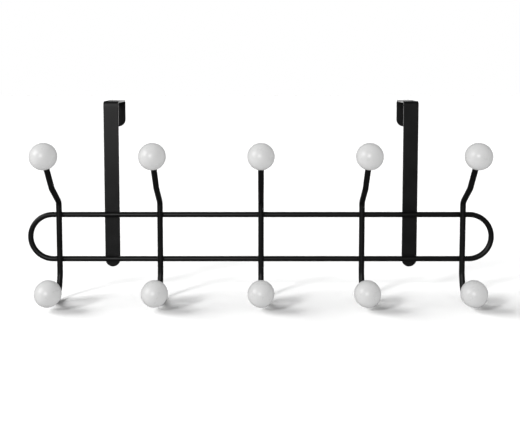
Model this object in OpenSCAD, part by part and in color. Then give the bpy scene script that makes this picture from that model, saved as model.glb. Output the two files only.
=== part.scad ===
// Over-the-door coat rack: a closed loop of steel rod carries five double hooks
// with ball ends, and two flat straps behind it hook over the top edge of a door.
// Millimetres. +Z is up and -Y is the front. The origin lies midway between the
// straps, on the front top edge of the door: the door fills y > 0, z < 0.

/* [Door] */
// Thickness of door that the straps fit over
door_gap = 38; // [20:1:60]

/* [Rod] */
// Diameter of the coated steel rod in the rail loop
rail_d = 5.7; // [4:0.1:8]
// Diameter of the coated steel rod in the hooks
hook_d = 6; // [4:0.1:8]
// How far a welded rod sinks into the piece behind it
weld_sink = 0.25; // [0.1:0.05:0.5]

/* [Rails] */
// Outside length of the rail loop
rail_length = 500; // [470:5:700]
// Distance between the two rail centrelines
rail_gap = 48; // [40:1:60]
// Drop from the door's top edge to the upper rail's centreline
upper_rail_drop = 119.3; // [105:0.1:160]

/* [Hooks] */
// Number of double hooks
hook_count = 5; // [3:2:5]
// Spacing of the hooks along the rails
hook_pitch = 107.4; // [90:0.1:110]
// Height of the first upper bend above the upper rail
upper_rise = 10.5; // [8:0.5:16]
// Lean of the upper arm away from vertical, to the nearest degree
upper_lean = 53; // [53, 74]
// Lean of the upper arm's end, which stands up more steeply
upper_tip_lean = 37; // [16, 37]
// Length of the upper arm between its two bends
upper_reach = 25.5; // [20:0.5:40]
// Straight length from the second upper bend to the rod's tip
upper_tip = 41; // [30:0.5:50]
// Depth of the first lower bend below the lower rail
lower_rise = 12; // [6:0.5:16]
// Lean of the rod below that bend, away from vertical
lower_lean = 16; // [16, 21]
// Length of the leaning stretch above the J bend
lower_reach = 8; // [4:0.5:15]
// Centreline radius of the J bend
j_radius = 16; // [10:0.5:18]
// Rise of the J's end above horizontal
j_rise = 33; // [16, 21, 33, 37]
// Straight length from the J bend to the rod's tip
lower_tip = 19.5; // [16:0.5:30]

/* [Balls] */
// Diameter of the ball ends
ball_d = 27; // [20:0.5:32]
// Diameter of the small flat around the socket
ball_flat_d = 8; // [7:0.5:10]
// How deep the rod's tip reaches into the ball, from its round surface
socket_grip = 11; // [8:0.5:11]

/* [Straps] */
// Distance of each strap from the middle of the rack
strap_x = 160; // [130:1:180]
// Width of the flat steel strap
strap_w = 16; // [12:1:20]
// Thickness of the strap
strap_t = 2; // [1.5:0.1:3]
// Inside radius of the strap's two bends
strap_bend = 2; // [1:0.5:3]
// How far the strap's round end reaches below the lower rail
strap_tail = 9.4; // [8:0.1:14]
// Outside height of the short flap behind the door
flap_h = 30; // [20:1:40]

/* [Pads] */
// Width of the foam pad on the back of each strap
pad_w = 12; // [8:1:14]
// Height of the pad
pad_h = 36; // [20:1:40]
// Thickness of the pad
pad_t = 1.5; // [1:0.5:3]
// Corner radius of the pad
pad_corner = 3; // [1:0.5:4]

/* [Hidden] */
$fn = 96;

ball_r = ball_d / 2;
upper_rail_z = -upper_rail_drop;
lower_rail_z = upper_rail_z - rail_gap;
middle_z = (upper_rail_z + lower_rail_z) / 2;
rail_y = -(strap_t + rail_d / 2 - weld_sink);
hook_y = rail_y - ((rail_d + hook_d) / 2 - weld_sink);
strap_end_z = lower_rail_z - strap_tail;
strap_outer = strap_bend + strap_t;
pad_z = strap_end_z + strap_w / 2 + pad_h / 2;
tip_to_centre = ball_r - socket_grip;
socket_relief = 0.5;
first_bend_r = 8;
second_bend_r = 12;
lean_bend_r = 20;

// Leans are exact angles of right triangles with whole-number sides, so that
// each stretch of rod starts exactly on the face where the last one ends.
triangle_legs = [[7, 24], [44, 117], [336, 527], [3, 4], [4, 3], [24, 7]];
function exact(lean) =
    [for (legs = triangle_legs)
        let (angle = atan2(legs[0], legs[1]))
        if (abs(angle - lean) < 1) angle][0];

// A bent rod is a list of [straight length, bend radius, bend angle] steps. It
// starts upwards, and a positive angle turns it towards the front.
upper_steps = [
    [rail_gap / 2 + upper_rise, first_bend_r, exact(upper_lean)],
    [upper_reach, second_bend_r, exact(upper_tip_lean) - exact(upper_lean)],
    [upper_tip, 0, 0]];
// The lower arm is drawn upside down: it starts downwards.
lower_steps = [
    [rail_gap / 2 + lower_rise, lean_bend_r, exact(lower_lean)],
    [lower_reach, j_radius, 90 + exact(j_rise) - exact(lower_lean)],
    [lower_tip, 0, 0]];

function hook_x(i) = (i - (hook_count + 1) / 2) * hook_pitch;
function side_x(side) = (side == "left" ? -1 : 1) * strap_x;

// One bend of the rod, in the plane x = 0: the part of a ring inside a wedge
module bend(radius, angle) {
    turn = abs(angle);
    reach = radius + hook_d;
    mirror([0, angle < 0 ? 1 : 0, 0])
        translate([0, -radius, 0])
            rotate([90, 0, 90])
                intersection() {
                    rotate_extrude()
                        translate([radius, 0])
                            circle(d = hook_d);
                    linear_extrude(2 * hook_d, center = true)
                        polygon([
                            [0, 0],
                            [reach, 0],
                            [reach, reach * tan(turn / 2)],
                            reach * [cos(turn), sin(turn)]]);
                }
}

// Moves its children from the start of a step to that step's end
module after_step(step) {
    side = sign(step[2]) * step[1];
    translate([0, -side, step[0]])
        rotate([step[2], 0, 0])
            translate([0, side, 0])
                children();
}

module bent_rod(steps, i = 0) {
    if (i < len(steps)) {
        cylinder(d = hook_d, h = steps[i][0]);
        if (steps[i][2] != 0)
            translate([0, 0, steps[i][0]])
                bend(steps[i][1], steps[i][2]);
        after_step(steps[i])
            bent_rod(steps, i + 1);
    }
}

// Puts its children at the tip of a bent rod, with +Z along the rod
module at_tip(steps, i = 0) {
    if (i < len(steps))
        after_step(steps[i])
            at_tip(steps, i + 1)
                children();
    else
        children();
}

module rail(z) {
    straight = rail_length - rail_d - rail_gap;
    translate([-straight / 2, rail_y, z])
        rotate([0, 90, 0])
            cylinder(d = rail_d, h = straight);
}

module rail_end() {
    translate([(rail_length - rail_d - rail_gap) / 2, rail_y, middle_z])
        rotate([90, 90, 0])
            rotate_extrude(angle = 180)
                translate([rail_gap / 2, 0])
                    circle(d = rail_d);
}

// The closed loop, with flat seats where the straps are welded behind it
module rail_loop() {
    color("#26262a")
        difference() {
            union() {
                rail(upper_rail_z);
                rail(lower_rail_z);
                rail_end();
                mirror([1, 0, 0]) rail_end();
            }
            for (side = ["left", "right"]) strap_shape(side);
        }
}

// One double hook, with a shallow saddle where it is welded across each rail
module hook_wire(i) {
    color("#26262a")
        difference() {
            translate([hook_x(i), hook_y, middle_z]) {
                bent_rod(upper_steps);
                mirror([0, 0, 1]) bent_rod(lower_steps);
            }
            rail(upper_rail_z);
            rail(lower_rail_z);
        }
}

// A ball around the rod's tip, with a blind socket and a small flat at its mouth
module ball() {
    flat_z = -sqrt(pow(ball_r, 2) - pow(ball_flat_d / 2, 2));
    socket_h = socket_grip + socket_relief;
    translate([0, 0, tip_to_centre])
        difference() {
            sphere(d = ball_d);
            translate([0, 0, flat_z - ball_r])
                cylinder(d = ball_d, h = ball_r);
            translate([0, 0, -ball_r])
                cylinder(d = hook_d, h = socket_h);
        }
}

module upper_ball(i) {
    color("#e8e8e8")
        translate([hook_x(i), hook_y, middle_z])
            at_tip(upper_steps) ball();
}

module lower_ball(i) {
    color("#e8e8e8")
        translate([hook_x(i), hook_y, middle_z])
            mirror([0, 0, 1])
                at_tip(lower_steps) ball();
}

// Flat leg of the strap, hanging from z = 0 with a round lower end
module strap_leg(length) {
    rotate([90, 0, 0])
        linear_extrude(strap_t) {
            translate([-strap_w / 2, -(length - strap_w / 2)])
                square([strap_w, length - strap_w / 2]);
            translate([0, -(length - strap_w / 2)])
                circle(d = strap_w);
        }
}

// Quarter turn of the strap, joining a leg to its top
module strap_corner() {
    rotate([90, 0, 90])
        translate([0, 0, -strap_w / 2])
            rotate_extrude(angle = 90)
                translate([strap_bend, 0])
                    square([strap_t, strap_w]);
}

module strap_shape(side) {
    top_l = door_gap - 2 * strap_bend;
    translate([side_x(side), 0, 0]) {
        translate([0, 0, -strap_bend])
            strap_leg(-strap_end_z - strap_bend);
        translate([0, strap_bend, -strap_bend])
            mirror([0, 1, 0]) strap_corner();
        translate([-strap_w / 2, strap_bend, 0])
            cube([strap_w, top_l, strap_t]);
        translate([0, door_gap - strap_bend, -strap_bend])
            strap_corner();
        translate([0, door_gap + strap_t, -strap_bend])
            strap_leg(flap_h - strap_outer);
    }
}

module door_strap(side) {
    color("#2e2e31") strap_shape(side);
}

// Foam pad on the strap's back, which keeps the rack off the door's paint
module door_pad(side) {
    inset_w = pad_w - 2 * pad_corner;
    inset_h = pad_h - 2 * pad_corner;
    color("#18181a")
        translate([side_x(side), pad_t, pad_z])
            rotate([90, 0, 0])
                linear_extrude(pad_t) {
                    square([pad_w, inset_h], center = true);
                    square([inset_w, pad_h], center = true);
                    for (x = [-1, 1], z = [-1, 1])
                        translate([x * inset_w / 2, z * inset_h / 2])
                            circle(r = pad_corner);
                }
}

rail_loop();
for (i = [1 : hook_count]) {
    hook_wire(i);
    upper_ball(i);
    lower_ball(i);
}
for (side = ["left", "right"]) {
    door_strap(side);
    door_pad(side);
}
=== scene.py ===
import math

import bmesh
import bpy
from mathutils import Matrix, Vector


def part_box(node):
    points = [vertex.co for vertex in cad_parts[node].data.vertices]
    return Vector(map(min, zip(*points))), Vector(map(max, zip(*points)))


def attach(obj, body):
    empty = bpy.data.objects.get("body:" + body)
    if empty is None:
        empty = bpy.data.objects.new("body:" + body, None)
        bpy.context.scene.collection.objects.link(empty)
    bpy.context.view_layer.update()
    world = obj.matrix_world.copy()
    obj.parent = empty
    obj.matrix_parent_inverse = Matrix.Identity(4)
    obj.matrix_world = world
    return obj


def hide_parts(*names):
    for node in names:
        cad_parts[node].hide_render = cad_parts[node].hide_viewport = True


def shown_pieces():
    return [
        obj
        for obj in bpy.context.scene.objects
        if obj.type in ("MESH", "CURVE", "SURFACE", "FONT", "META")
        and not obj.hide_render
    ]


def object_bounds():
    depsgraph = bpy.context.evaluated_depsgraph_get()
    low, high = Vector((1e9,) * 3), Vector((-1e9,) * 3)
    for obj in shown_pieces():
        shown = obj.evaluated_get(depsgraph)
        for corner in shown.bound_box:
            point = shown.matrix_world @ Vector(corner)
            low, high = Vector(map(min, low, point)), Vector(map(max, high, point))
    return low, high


# Looks of the over-the-door coat rack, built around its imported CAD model. Metres.
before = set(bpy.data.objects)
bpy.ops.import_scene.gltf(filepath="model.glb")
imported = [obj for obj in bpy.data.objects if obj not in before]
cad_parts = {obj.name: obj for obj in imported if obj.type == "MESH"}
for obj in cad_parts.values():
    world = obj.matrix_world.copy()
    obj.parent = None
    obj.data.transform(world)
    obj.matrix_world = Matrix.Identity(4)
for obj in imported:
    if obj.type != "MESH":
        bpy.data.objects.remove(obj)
cad_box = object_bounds()

MM = 0.001
X, Y, Z = Vector((1, 0, 0)), Vector((0, 1, 0)), Vector((0, 0, 1))
HOOKS = range(1, 6)
SIDES = ("left", "right")

# Rails, read from the frame
loop_lo, loop_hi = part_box("rail_loop")
rail_r = (loop_hi.y - loop_lo.y) / 2
rail_y = (loop_hi.y + loop_lo.y) / 2
upper_rail_z = loop_hi.z - rail_r
lower_rail_z = loop_lo.z + rail_r
middle_z = (upper_rail_z + lower_rail_z) / 2
rail_gap = upper_rail_z - lower_rail_z

# Hooks
hook_lo, hook_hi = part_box("hook_wire_1")
hook_r = (hook_hi.x - hook_lo.x) / 2
hook_y = hook_hi.y - hook_r

# Bent arms as (straight length, bend radius, bend in degrees), from between the rails
# outwards. A positive bend turns the rod towards the front.
UPPER_ARM = [
    (rail_gap / 2 + 10.5 * MM, 8 * MM, 53.130),
    (25.5 * MM, 12 * MM, -16.260),
    (41 * MM, 0, 0)]
LOWER_ARM = [
    (rail_gap / 2 + 12 * MM, 20 * MM, 16.260),
    (8 * MM, 16 * MM, 106.260),
    (19.5 * MM, 0, 0)]
BEND_FLATTENING = 0.03  # how much a cold bend narrows the rod in the bend's plane
TIP_CHAMFER = 0.4 * MM

# Balls
ball_r = (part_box("upper_ball_1")[1].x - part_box("upper_ball_1")[0].x) / 2
SOCKET_GRIP = 11 * MM
TIP_TO_CENTRE = ball_r - SOCKET_GRIP
BALL_FLAT_R = 4 * MM
SOCKET_SLACK = 0.06 * MM
SOCKET_RELIEF = 0.5 * MM
SOCKET_ROUNDING = 0.35 * MM

# Straps
strap_lo, strap_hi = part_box("door_strap_left")
strap_t = strap_hi.z
strap_w = strap_hi.x - strap_lo.x
strap_end_z = strap_lo.z
door_gap = strap_hi.y - strap_t
STRAP_BEND = 2 * MM
STRAP_EDGE_R = 0.5 * MM
FLAP_H = 30 * MM

# Pads
PAD_CORNER = 3 * MM
PAD_EDGE_R = 0.45 * MM

# Welds where hooks cross rails
WELD_REACH = 2.15 * MM
WELD_SWAY, WELD_RIPPLE = 0.05, 0.03  # unevenness of the reach, as shares of it
WELD_CORE = 0.5 * MM  # inner radius, hidden between the rods
WELD_HOLLOW = 0.38  # depth of a weld's hollow face, as a share of its height
WELD_BURY = 0.04 * MM  # how far a weld's edges lie under the surfaces that it joins

# Weld beads where rails cross straps
BEAD_END_REACH = 1.25 * MM
BEAD_SWELL = 0.75 * MM
BEAD_RIPPLE = 0.08 * MM
BEAD_INSET = 0.6 * MM  # from the strap's edge to the bead's end
BEAD_CORE = 0.4 * MM
BEAD_SINK = 0.12 * MM

# Mesh density
MERGE_DISTANCE = 1e-7
ROD_SIDES = 40
RING_SPACING = 4 * MM
BEND_SPACING = 0.7 * MM
BALL_SIDES = 72
BALL_RINGS = 44
SOCKET_EDGE_STEPS = 4
EDGE_STEPS = 5
STRAP_SPACING = 5 * MM
STRAP_BEND_SPACING = 0.45 * MM
STRAP_END_STEPS = 14
PAD_CORNER_STEPS = 6
PAD_SIDE_STEPS = 8
WELD_STEPS = 48
BEAD_STEPS = 30
HOLLOW_STEPS = 6

# Materials: linear colours, and the range that holds most of a noise texture's values
NOISE_RANGE = (0.3, 0.7)
ROD_TINTS = ((0.0025, 0.0025, 0.0025), (0.0040, 0.0040, 0.0040))
STRAP_TINTS = ((0.0030, 0.0030, 0.0030), (0.0045, 0.0045, 0.0045))
BALL_TINTS = ((0.745, 0.745, 0.742), (0.785, 0.785, 0.782))
FOAM_TINTS = ((0.020, 0.020, 0.021), (0.040, 0.040, 0.042))
FLOOR_COLOUR = (0.40, 0.40, 0.40, 1)

# Studio
TARGET = (cad_box[0] + cad_box[1]) / 2
FLOOR_HALF = 6
FAR_LIGHT_DISTANCE = 2
TENT_SIDES, TENT_TOP = 0.84, 0.66
TENT_HEIGHTS = (0.1, 0.8)  # upward slopes between which the tent fades from sides to top
TENT_GLOSS = 0.12  # how much of the tent is seen in reflections

# Camera
CAMERA_LENS, CAMERA_SENSOR = 50, 36
CAMERA_SHIFT = (-0.0019, -0.1775)
CAMERA_PLACE = (0, -0.770, 0.0353)
CAMERA_TILT = 3.82  # degrees below level
CAMERA_CLIP = 0.01


# ---------------------------------------------------------------- mesh helpers

def add_piece(name, points, faces, material, nodes=()):
    """A smooth mesh piece that rides on the rack and stands for the given CAD nodes."""
    mesh = bpy.data.meshes.new(name)
    mesh.from_pydata([tuple(p) for p in points], [], faces)
    work = bmesh.new()
    work.from_mesh(mesh)
    bmesh.ops.remove_doubles(work, verts=work.verts, dist=MERGE_DISTANCE)
    bmesh.ops.recalc_face_normals(work, faces=work.faces)
    work.to_mesh(mesh)
    work.free()
    mesh.shade_smooth()
    mesh.materials.append(material)
    piece = bpy.data.objects.new(name, mesh)
    bpy.context.scene.collection.objects.link(piece)
    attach(piece, "root")
    if nodes:
        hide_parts(*nodes)
    return piece


def loft(rings, closed=False):
    """Points and faces of the skin over rings that all have the same number of points."""
    count = len(rings[0])
    points = [p for ring in rings for p in ring]
    faces = []
    for i in range(len(rings) if closed else len(rings) - 1):
        a, b = i * count, (i + 1) % len(rings) * count
        for j in range(count):
            k = (j + 1) % count
            faces.append((a + j, a + k, b + k, b + j))
    if not closed:
        faces.append(tuple(range(count)))
        faces.append(tuple(range(len(points) - count, len(points))))
    return points, faces


def bent_path(start, heading, normal, steps):
    """Stations (point, heading, roundness) along a rod that is bent in one plane."""
    point = start
    stations = [(point, heading, 1)]
    for length, radius, angle in steps:
        count = math.ceil(length / RING_SPACING)
        for i in range(1, count + 1):
            stations.append((point + heading * length * i / count, heading, 1))
        point = point + heading * length
        if not angle:
            continue
        centre = point + normal.cross(heading) * math.copysign(radius, angle)
        count = math.ceil(abs(math.radians(angle)) * radius / BEND_SPACING)
        for i in range(1, count + 1):
            turn = Matrix.Rotation(math.radians(angle) * i / count, 3, normal)
            roundness = 1 - BEND_FLATTENING * math.sin(math.pi * i / count)
            stations.append((centre + turn @ (point - centre), turn @ heading, roundness))
        point, heading, _ = stations[-1]
    return stations


def rod_rings(stations, normal, radius):
    """Rings of a round rod along stations whose bends all lie across the normal."""
    rings = []
    for point, heading, roundness in stations:
        inward = normal.cross(heading) * roundness
        ring = []
        for i in range(ROD_SIDES):
            a = math.tau * i / ROD_SIDES
            ring.append(point + radius * (math.cos(a) * normal + math.sin(a) * inward))
        rings.append(ring)
    return rings


def narrowed(ring, scale):
    """The ring shrunk towards its own centre."""
    centre = sum(ring, Vector()) / len(ring)
    return [centre + (p - centre) * scale for p in ring]


def plate(rows_at, profile, place):
    """A flat plate with shaped edges. rows_at(inset) gives the outline's right half as
    (half width, length) rows; profile lists (inset, height) from front to back."""
    loops = []
    for inset, height in profile:
        rows = rows_at(inset)
        loop = [(u, s) for u, s in rows] + [(-u, s) for u, s in reversed(rows)]
        loops.append([place(u, s, height) for u, s in loop])
    points, faces = loft(loops)
    faces = faces[:-2]
    count = len(loops[0])
    for base in (0, len(points) - count):
        for i in range(count // 2 - 1):
            j = count - 1 - i
            faces.append((base + i, base + i + 1, base + j - 1, base + j))
    return points, faces


def edge_profile(thickness, radius):
    """Rounded edge of a plate, from the front face over the edge to the back face."""
    front = [(2 * radius, thickness / 2)]
    for i in range(EDGE_STEPS + 1):
        a = math.pi / 2 * i / EDGE_STEPS
        front.append((radius * (1 - math.sin(a)), thickness / 2 - radius * (1 - math.cos(a))))
    return front + [(inset, -height) for inset, height in reversed(front)]


# ---------------------------------------------------------------- materials

def nodes_of(material):
    """The material's node tree and its main shader."""
    material.use_nodes = True
    tree = material.node_tree
    return tree, tree.nodes["Principled BSDF"]


def noise(tree, coords, scale, detail):
    node = tree.nodes.new("ShaderNodeTexNoise")
    node.inputs["Scale"].default_value = scale
    node.inputs["Detail"].default_value = detail
    tree.links.new(coords.outputs["Object"], node.inputs["Vector"])
    return node.outputs["Fac"]


def remapped(tree, value, old, new):
    """Maps a value from the old (low, high) range to the new one, and clamps it."""
    node = tree.nodes.new("ShaderNodeMapRange")
    for end, (low, high) in (("From", old), ("To", new)):
        node.inputs[f"{end} Min"].default_value = low
        node.inputs[f"{end} Max"].default_value = high
    tree.links.new(value, node.inputs["Value"])
    return node.outputs["Result"]


def tinted(tree, value, tints):
    """Blends two colours by a noise value."""
    ramp = tree.nodes.new("ShaderNodeValToRGB")
    for element, position, tint in zip(ramp.color_ramp.elements, NOISE_RANGE, tints):
        element.position = position
        element.color = (*tint, 1)
    tree.links.new(value, ramp.inputs["Fac"])
    return ramp.outputs["Color"]


def bumped(tree, shader, heights):
    """Chains one bump per (height, distance, strength) onto the shader."""
    normal = None
    for height, distance, strength in heights:
        bump = tree.nodes.new("ShaderNodeBump")
        bump.inputs["Distance"].default_value = distance
        bump.inputs["Strength"].default_value = strength
        tree.links.new(height, bump.inputs["Height"])
        if normal:
            tree.links.new(normal, bump.inputs["Normal"])
        normal = bump.outputs["Normal"]
    tree.links.new(normal, shader.inputs["Normal"])


def powder_coat(name, tints, roughness):
    """Satin powder coat: fine orange peel, a drifting sheen and tiny specks."""
    material = bpy.data.materials.new(name)
    tree, shader = nodes_of(material)
    coords = tree.nodes.new("ShaderNodeTexCoord")
    drift = noise(tree, coords, scale=60, detail=3)
    peel = noise(tree, coords, scale=900, detail=2)
    grain = noise(tree, coords, scale=3200, detail=2)
    tree.links.new(tinted(tree, drift, tints), shader.inputs["Base Color"])
    tree.links.new(remapped(tree, drift, NOISE_RANGE, roughness), shader.inputs["Roughness"])
    shader.inputs["Specular IOR Level"].default_value = 0.35
    bumped(tree, shader, [(peel, 0.05 * MM, 0.5), (grain, 0.012 * MM, 0.5)])
    return material


def ball_gloss():
    """Soft-gloss off-white moulding with a slightly uneven surface."""
    material = bpy.data.materials.new("ball_gloss")
    tree, shader = nodes_of(material)
    coords = tree.nodes.new("ShaderNodeTexCoord")
    drift = noise(tree, coords, scale=110, detail=2)
    wave = noise(tree, coords, scale=160, detail=1)
    peel = noise(tree, coords, scale=1400, detail=2)
    tree.links.new(tinted(tree, drift, BALL_TINTS), shader.inputs["Base Color"])
    tree.links.new(remapped(tree, drift, NOISE_RANGE, (0.26, 0.34)), shader.inputs["Roughness"])
    shader.inputs["Coat Weight"].default_value = 0.25
    shader.inputs["Coat Roughness"].default_value = 0.18
    bumped(tree, shader, [(wave, 0.12 * MM, 0.35), (peel, 0.01 * MM, 0.4)])
    return material


def pad_foam():
    """Black foam with small open cells at its cut surface."""
    material = bpy.data.materials.new("pad_foam")
    tree, shader = nodes_of(material)
    coords = tree.nodes.new("ShaderNodeTexCoord")
    cells = tree.nodes.new("ShaderNodeTexVoronoi")
    cells.inputs["Scale"].default_value = 2600
    tree.links.new(coords.outputs["Object"], cells.inputs["Vector"])
    drift = noise(tree, coords, scale=300, detail=3)
    tree.links.new(tinted(tree, drift, FOAM_TINTS), shader.inputs["Base Color"])
    tree.links.new(remapped(tree, drift, NOISE_RANGE, (0.82, 0.96)), shader.inputs["Roughness"])
    bumped(tree, shader, [(cells.outputs["Distance"], 0.15 * MM, 0.8), (drift, 0.2 * MM, 0.5)])
    return material


# ---------------------------------------------------------------- pieces

def make_rail_loop(material):
    half = loop_hi.x - rail_r - rail_gap / 2
    steps = [
        (half, rail_gap / 2, 180),
        (2 * half, rail_gap / 2, 180),
        (half, 0, 0)]
    stations = bent_path(Vector((0, rail_y, upper_rail_z)), X, Y, steps)
    # the last station is the first one again, and the loop's wide bends stay round
    stations = [(point, heading, 1) for point, heading, _ in stations[:-1]]
    points, faces = loft(rod_rings(stations, Y, rail_r), closed=True)
    add_piece("rail_loop_rod", points, faces, material, ["rail_loop"])


def arm_stations(x, upper):
    """Stations of the upper or the lower arm of the hook at x, from between the rails."""
    start = Vector((x, hook_y, middle_z))
    if upper:
        return bent_path(start, Z, X, UPPER_ARM)
    return bent_path(start, -Z, -X, LOWER_ARM)


def make_hook_wire(i, x, material):
    lower = rod_rings(arm_stations(x, upper=False), X, hook_r)
    upper = rod_rings(arm_stations(x, upper=True), X, hook_r)
    # seen along its own heading, the lower arm's rings run the other way round
    lower = [[ring[-j % ROD_SIDES] for j in range(ROD_SIDES)] for ring in lower]
    rings = lower[:0:-1] + upper
    tips = [narrowed(rings[end], 1 - TIP_CHAMFER / hook_r) for end in (0, -1)]
    points, faces = loft([tips[0], *rings, tips[1]])
    add_piece(f"hook_rod_{i}", points, faces, material, [f"hook_wire_{i}"])


def ball_profile():
    """(radius, height) points of the ball's half outline, from its far pole round to the
    small flat, over the mouth's rounding and down to the bottom of the socket."""
    flat_angle = math.pi - math.asin(BALL_FLAT_R / ball_r)
    angles = [flat_angle * i / BALL_RINGS for i in range(BALL_RINGS + 1)]
    outline = [(ball_r * math.sin(a), ball_r * math.cos(a)) for a in angles]
    flat_z = outline[-1][1]
    hole_r = hook_r + SOCKET_SLACK
    for i in range(SOCKET_EDGE_STEPS + 1):
        a = math.pi / 2 * i / SOCKET_EDGE_STEPS
        outline.append((
            hole_r + SOCKET_ROUNDING * (1 - math.sin(a)),
            flat_z + SOCKET_ROUNDING * (1 - math.cos(a))))
    bottom = -TIP_TO_CENTRE + SOCKET_RELIEF
    return outline + [
        (hole_r, bottom - SOCKET_ROUNDING), (hole_r - SOCKET_ROUNDING, bottom), (0, bottom)]


def make_ball(name, tip, heading, material, node):
    """A ball pushed on the rod's tip, which lies at the bottom of its socket."""
    centre = tip + heading * TIP_TO_CENTRE
    across = X.cross(heading)
    rings = []
    for radius, height in ball_profile():
        ring = []
        for i in range(BALL_SIDES):
            a = math.tau * i / BALL_SIDES
            ring.append(
                centre + heading * height + radius * (math.cos(a) * X + math.sin(a) * across))
        rings.append(ring)
    points, faces = loft(rings)
    add_piece(name, points, faces[:-2], material, [node])


def strap_stations():
    """The lengths along the strap's middle surface at which its mesh has a row, the whole
    length, and a function that gives the (y, z) place and outward direction at a length."""
    bend = STRAP_BEND + strap_t / 2
    legs = (-STRAP_BEND - strap_end_z, door_gap - 2 * STRAP_BEND, FLAP_H - strap_t - STRAP_BEND)
    quarter = bend * math.pi / 2
    starts = [0]
    for length in (legs[0], quarter, legs[1], quarter, legs[2]):
        starts.append(starts[-1] + length)

    def at(s):
        if s <= starts[1]:
            return (-strap_t / 2, strap_end_z + s), (-1, 0)
        if s <= starts[2]:
            a = (s - starts[1]) / bend
            out = (-math.cos(a), math.sin(a))
            return (STRAP_BEND + bend * out[0], -STRAP_BEND + bend * out[1]), out
        if s <= starts[3]:
            return (STRAP_BEND + s - starts[2], strap_t / 2), (0, 1)
        if s <= starts[4]:
            a = (s - starts[3]) / bend
            out = (math.sin(a), math.cos(a))
            back = door_gap - STRAP_BEND
            return (back + bend * out[0], -STRAP_BEND + bend * out[1]), out
        return (door_gap + strap_t / 2, -STRAP_BEND - (s - starts[4])), (1, 0)

    rows = []
    ends = (strap_w / 2, *starts[1:5], starts[5] - strap_w / 2)
    for k, (low, high) in enumerate(zip(ends, ends[1:])):
        in_bend = k % 2 == 1
        count = math.ceil((high - low) / (STRAP_BEND_SPACING if in_bend else STRAP_SPACING))
        rows += [low + (high - low) * i / count for i in range(count)]
    return rows + [ends[-1]], starts[-1], at


def make_strap(side, x, material):
    rows, total, at = strap_stations()

    def rows_at(inset):
        radius = strap_w / 2 - inset
        angles = [math.pi / 2 * i / STRAP_END_STEPS for i in range(STRAP_END_STEPS)]
        foot = [(radius * math.sin(a), strap_w / 2 - radius * math.cos(a)) for a in angles]
        head = [(u, total - s) for u, s in reversed(foot)]
        return foot + [(radius, s) for s in rows] + head

    def place(u, s, height):
        (y, z), out = at(s)
        return Vector((x + u, y + height * out[0], z + height * out[1]))

    points, faces = plate(rows_at, edge_profile(strap_t, STRAP_EDGE_R), place)
    add_piece(f"strap_{side}", points, faces, material, [f"door_strap_{side}"])


def make_pad(side, material):
    lo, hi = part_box(f"door_pad_{side}")
    centre, size = (lo + hi) / 2, hi - lo

    def rows_at(inset):
        radius = PAD_CORNER - inset
        u0, s0 = size.x / 2 - PAD_CORNER, size.z / 2 - PAD_CORNER
        angles = [math.pi / 2 * i / PAD_CORNER_STEPS for i in range(PAD_CORNER_STEPS + 1)]
        foot = [(u0 + radius * math.sin(a), -s0 - radius * math.cos(a)) for a in angles]
        shares = [2 * i / PAD_SIDE_STEPS - 1 for i in range(1, PAD_SIDE_STEPS)]
        side_rows = [(u0 + radius, s0 * share) for share in shares]
        head = [(u, -s) for u, s in reversed(foot)]
        return foot + side_rows + head

    def place(u, s, height):
        return Vector((centre.x + u, centre.y + height, centre.z + s))

    points, faces = plate(rows_at, edge_profile(size.y, PAD_EDGE_R), place)
    pad = add_piece(f"pad_{side}", points, faces, material, [f"door_pad_{side}"])


def hollow_curve(reach, y_from, y_to):
    """(distance, y) points of a weld's hollow face between two rods or a rod and a strap."""
    gap = y_to - y_from
    curve = []
    for k in range(HOLLOW_STEPS + 1):
        depth = WELD_HOLLOW * abs(gap) * math.sin(math.pi * k / HOLLOW_STEPS)
        curve.append((reach - depth, y_from + gap * k / HOLLOW_STEPS))
    return curve


def make_cross_weld(name, x, z, material, phase):
    """The coated weld round the point where a hook crosses a rail."""
    rings = []
    for i in range(WELD_STEPS):
        a = math.tau * i / WELD_STEPS
        sway = WELD_SWAY * math.sin(2 * a + phase)
        ripple = WELD_RIPPLE * math.sin(5 * a - phase)
        reach = WELD_REACH * (1 + sway + ripple)
        across, up = reach * math.cos(a), reach * math.sin(a)
        y_hook = hook_y + math.sqrt(hook_r ** 2 - across ** 2) - WELD_BURY
        y_rail = rail_y - math.sqrt(rail_r ** 2 - up ** 2) + WELD_BURY
        seam_y = (hook_y + rail_y) / 2
        outline = hollow_curve(reach, y_hook, y_rail)
        outline += [(WELD_CORE, seam_y + WELD_BURY), (WELD_CORE, seam_y - WELD_BURY)]
        rings.append([
            Vector((x + d * math.cos(a), y, z + d * math.sin(a))) for d, y in outline])
    points, faces = loft(rings, closed=True)
    add_piece(name, points, faces, material)


def make_strap_weld(name, x, z, material, phase):
    """The two coated beads along a rail where it is welded across a strap."""
    half = strap_w / 2 - BEAD_INSET
    points, faces = [], []
    for sign in (-1, 1):
        rings = []
        for i in range(BEAD_STEPS + 1):
            t = 2 * i / BEAD_STEPS - 1
            fade = math.sqrt(max(0, 1 - t ** 6))
            reach = BEAD_END_REACH + BEAD_SWELL * fade + BEAD_RIPPLE * math.sin(7 * t + phase)
            y_rail = rail_y + math.sqrt(rail_r ** 2 - reach ** 2) - WELD_BURY
            outline = hollow_curve(reach, -strap_t + WELD_BURY, y_rail)
            outline += [
                (BEAD_CORE, rail_y + rail_r - BEAD_SINK), (BEAD_CORE, -strap_t + WELD_BURY)]
            rings.append([Vector((x + t * half, y, z + sign * d)) for d, y in outline])
        base = len(points)
        more, skin = loft(rings)
        points += more
        faces += [tuple(base + k for k in face) for face in skin]
    add_piece(name, points, faces, material)


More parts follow.
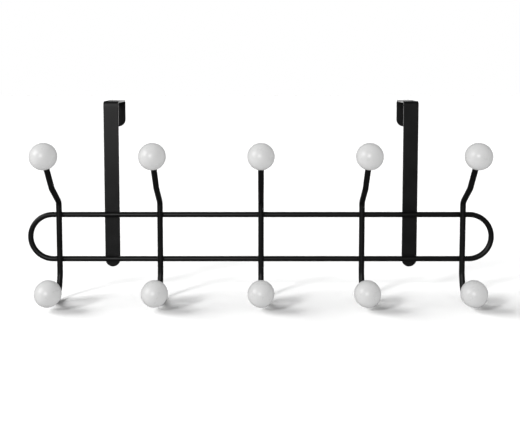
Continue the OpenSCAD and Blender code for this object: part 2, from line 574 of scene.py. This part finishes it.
def build_rack():
    rod_coat = powder_coat("rod_coat", ROD_TINTS, roughness=(0.34, 0.44))
    strap_coat = powder_coat("strap_coat", STRAP_TINTS, roughness=(0.38, 0.48))
    ball, foam = ball_gloss(), pad_foam()
    make_rail_loop(rod_coat)
    for i in HOOKS:
        lo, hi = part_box(f"hook_wire_{i}")
        x = (lo.x + hi.x) / 2
        make_hook_wire(i, x, rod_coat)
        for where, upper in (("upper", True), ("lower", False)):
            tip, heading, _ = arm_stations(x, upper)[-1]
            node = f"{where}_ball_{i}"
            make_ball(f"{where}_knob_{i}", tip, heading, ball, node)
        make_cross_weld(f"weld_upper_{i}", x, upper_rail_z, rod_coat, i)
        make_cross_weld(f"weld_lower_{i}", x, lower_rail_z, rod_coat, i + 0.5)
    for k, side in enumerate(SIDES):
        lo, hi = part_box(f"door_strap_{side}")
        x = (lo.x + hi.x) / 2
        make_strap(side, x, strap_coat)
        make_pad(side, foam)
        make_strap_weld(f"strap_weld_upper_{side}", x, upper_rail_z, rod_coat, k)
        make_strap_weld(f"strap_weld_lower_{side}", x, lower_rail_z, rod_coat, k + 2)


# ---------------------------------------------------------------- studio

def make_floor(z):
    """A pale floor that shows shadows but sends no light back to the rack."""
    half = FLOOR_HALF
    mesh = bpy.data.meshes.new("floor")
    corners = [(-half, -half, z), (half, -half, z), (half, half, z), (-half, half, z)]
    mesh.from_pydata(corners, [], [(0, 1, 2, 3)])
    floor = bpy.data.objects.new("floor", mesh)
    bpy.context.scene.collection.objects.link(floor)
    material = bpy.data.materials.new("white_floor")
    _, shader = nodes_of(material)
    shader.inputs["Base Color"].default_value = FLOOR_COLOUR
    shader.inputs["Roughness"].default_value = 1
    shader.inputs["Specular IOR Level"].default_value = 0
    mesh.materials.append(material)
    floor.visible_diffuse = False
    floor.visible_glossy = False
    return floor


def combined(tree, operation, first, second):
    node = tree.nodes.new("ShaderNodeMath")
    node.operation = operation
    tree.links.new(first, node.inputs[0])
    tree.links.new(second, node.inputs[1])
    return node.outputs["Value"]


def make_world():
    """White behind the rack. As light it is a tent, darker overhead and dim in reflections."""
    world = bpy.data.worlds.new("studio")
    bpy.context.scene.world = world
    world.use_nodes = True
    tree = world.node_tree
    coords = tree.nodes.new("ShaderNodeTexCoord")
    split = tree.nodes.new("ShaderNodeSeparateXYZ")
    path = tree.nodes.new("ShaderNodeLightPath")
    tree.links.new(coords.outputs["Generated"], split.inputs["Vector"])
    tent = remapped(tree, split.outputs["Z"], TENT_HEIGHTS, (TENT_SIDES, TENT_TOP))
    gloss = remapped(tree, path.outputs["Is Glossy Ray"], (0, 1), (1, TENT_GLOSS))
    light = combined(tree, "MULTIPLY", tent, gloss)
    seen = combined(tree, "MAXIMUM", light, path.outputs["Is Camera Ray"])
    background = tree.nodes["Background"]
    background.inputs["Color"].default_value = (1, 1, 1, 1)
    tree.links.new(seen, background.inputs["Strength"])


def group_of(name, objects):
    """A collection for light linking. It isn't part of the scene's own tree."""
    group = bpy.data.collections.new(name)
    for o in objects:
        group.objects.link(o)
    return group


def aim(lamp, direction, distance, lit):
    """Places the lamp in the given direction from the rack and lets it light only one group."""
    away = Vector(direction).normalized()
    lamp.location = TARGET + away * distance
    lamp.rotation_euler = away.to_track_quat("Z", "Y").to_euler()
    bpy.context.scene.collection.objects.link(lamp)
    lamp.light_linking.receiver_collection = lit


def make_softbox(name, direction, distance, size, power, lit, only_sheen=False):
    """A square softbox that shines from the given direction. With only_sheen it shows in
    reflections and adds no plain light."""
    data = bpy.data.lights.new(name, "AREA")
    data.size = size
    data.energy = power
    lamp = bpy.data.objects.new(name, data)
    lamp.visible_diffuse = not only_sheen
    lamp.visible_camera = False
    aim(lamp, direction, distance, lit)


def make_far_light(name, direction, softness, power, lit):
    """An even light from far away. Softness is the angle that it fills, in degrees."""
    data = bpy.data.lights.new(name, "SUN")
    data.angle = math.radians(softness)
    data.energy = power
    aim(bpy.data.objects.new(name, data), direction, FAR_LIGHT_DISTANCE, lit)


def make_camera():
    data = bpy.data.cameras.new("camera")
    data.lens = CAMERA_LENS
    data.sensor_width = CAMERA_SENSOR
    data.shift_x, data.shift_y = CAMERA_SHIFT
    data.clip_start = CAMERA_CLIP
    camera = bpy.data.objects.new("camera", data)
    camera.location = CAMERA_PLACE
    camera.rotation_euler = (math.radians(90 - CAMERA_TILT), 0, 0)
    bpy.context.scene.collection.objects.link(camera)
    bpy.context.scene.camera = camera


make_camera()
build_rack()
rack = group_of("rack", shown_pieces())
straps = group_of("straps", [
    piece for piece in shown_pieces() if piece.name in ("strap_left", "strap_right")])
stage = group_of("stage", [make_floor(cad_box[0].z)])
make_world()

# The softboxes light only the rack and the far lights only the floor, so that the rods'
# highlights and the shadows under the rack are set apart from each other.
make_softbox(
    "key", direction=(-0.84, -0.40, 0.45), distance=1.5, size=0.8, power=8, lit=rack)
make_softbox(
    "sheen", direction=(-0.19, -0.93, 0.25), distance=1.9, size=0.7, power=10, lit=rack,
    only_sheen=True)
make_softbox(
    "back_sheen", direction=(0, 1, 0.12), distance=1.2, size=0.8, power=6, lit=straps,
    only_sheen=True)
make_far_light("shadow_front", direction=(-1.4, -1.4, 1), softness=12, power=4.8, lit=stage)
make_far_light("shadow_side", direction=(-2.2, 0.2, 1), softness=44, power=11.2, lit=stage)
bpy.context.scene.view_settings.view_transform = "Standard"
